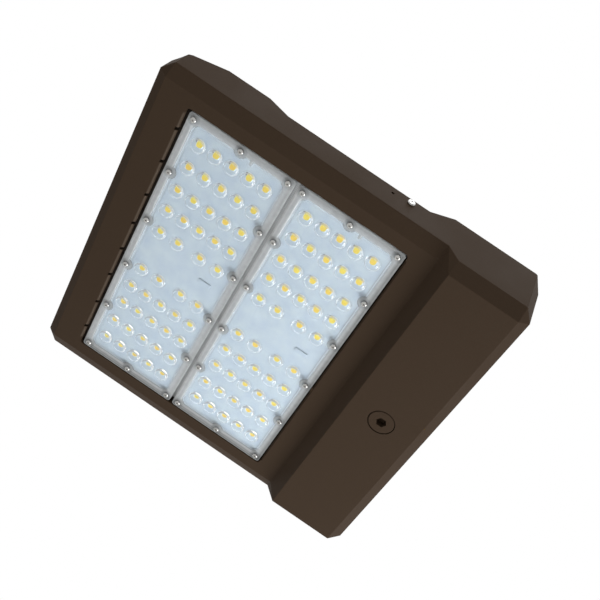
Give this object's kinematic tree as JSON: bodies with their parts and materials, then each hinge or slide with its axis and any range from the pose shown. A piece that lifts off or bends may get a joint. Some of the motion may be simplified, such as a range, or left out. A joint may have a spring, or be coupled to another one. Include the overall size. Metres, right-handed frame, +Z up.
{
  "type": "area light",
  "caption": "Outdoor LED area light head with two lens modules under a cast housing, finned heat sink, hinged driver lid and a screw-in sensor port plug; bolts to a pole or wall arm.",
  "frame": {"origin": "centre of the four arm bolt holes, on the outside of the pole-end wall", "axes": "+X from the pole to the outer end, +Z up, the light leaves along -Z"},
  "size_m": [0.38, 0.3678, 0.0732],
  "materials": {
    "cast_paint": "textured dark bronze powder coat on cast aluminium",
    "sink_aluminium": "dark bronze powder coat on aluminium",
    "stainless": "bright stainless steel",
    "zinc_steel": "zinc plated steel",
    "tinned_copper": "tin plated copper",
    "zinc_sheet": "galvanised sheet",
    "driver_aluminium": "satin extruded aluminium",
    "black_plastic": "moulded nylon",
    "pale_plastic": "moulded plastic",
    "clear_lens": "clear moulded optic",
    "silicone": "grey silicone",
    "black_rubber": "black rubber",
    "white_board": "white solder mask on an aluminium board",
    "phosphor": "yellow phosphor",
    "brown_core": "insulated wire",
    "blue_core": "insulated wire",
    "green_core": "insulated wire",
    "grey_sheath": "sheathed two-core lead"
  },
  "bodies": {
    "root": {"housing": "cast_paint", "heat_sink": "sink_aluminium", "heat_sink_screws": "stainless", "lens_screws": "stainless", "side_screws": "stainless", "lid_hinge_pins": "stainless", "tray_screws": "zinc_steel", "driver_screws": "zinc_steel", "block_screws": "zinc_steel", "terminal_screws": "zinc_steel", "earth_screw": "zinc_steel", "earth_lug": "tinned_copper", "gear_tray": "zinc_sheet", "led_driver_case": "driver_aluminium", "led_driver_caps": "black_plastic", "terminal_block": "pale_plastic", "board_terminal_inner": "pale_plastic", "board_terminal_outer": "pale_plastic", "lens_plate_inner": "clear_lens", "lens_plate_outer": "clear_lens", "lens_gasket_inner": "silicone", "lens_gasket_outer": "silicone", "lid_gasket": "silicone", "led_board_inner": "white_board", "led_board_outer": "white_board", "led_chips_inner": "phosphor", "led_chips_outer": "phosphor", "lead_bush_inner": "black_rubber", "lead_bush_outer": "black_rubber", "entry_grommet": "black_rubber", "partition_grommet": "black_rubber", "breather_vent": "black_plastic", "breather_nut": "black_plastic", "line_lead": "brown_core", "neutral_lead": "blue_core", "driver_earth_lead": "green_core", "earth_lead": "green_core", "led_lead_inner": "grey_sheath", "led_lead_outer": "grey_sheath"},
    "lid": {"driver_lid": "cast_paint", "lid_screws": "stainless", "lid_screw_retainers": "stainless"},
    "plug_seal": {"port_plug_seal": "black_rubber"},
    "plug": {"port_plug": "cast_paint"}
  },
  "joints": [
    {"name": "lid_hinge", "type": "hinge", "parent": "root", "child": "lid", "pos_m": [0.1135, 0, 0.013], "axis": [0, 1, 0], "range_deg": [0, 100]},
    {"name": "plug_travel", "type": "slide", "parent": "root", "child": "plug_seal", "axis": [0, 0, -1], "range_m": [0, 0.0061]},
    {"name": "plug_turn", "type": "hinge", "parent": "plug_seal", "child": "plug", "pos_m": [0.045, 0, -0.0375], "axis": [0, 0, -1], "range_deg": [0, 1440]}
  ],
  "couplings": [
    {"joint": "plug_travel", "follows": "plug_turn", "m_per_rad": 0.00023873}
  ]
}
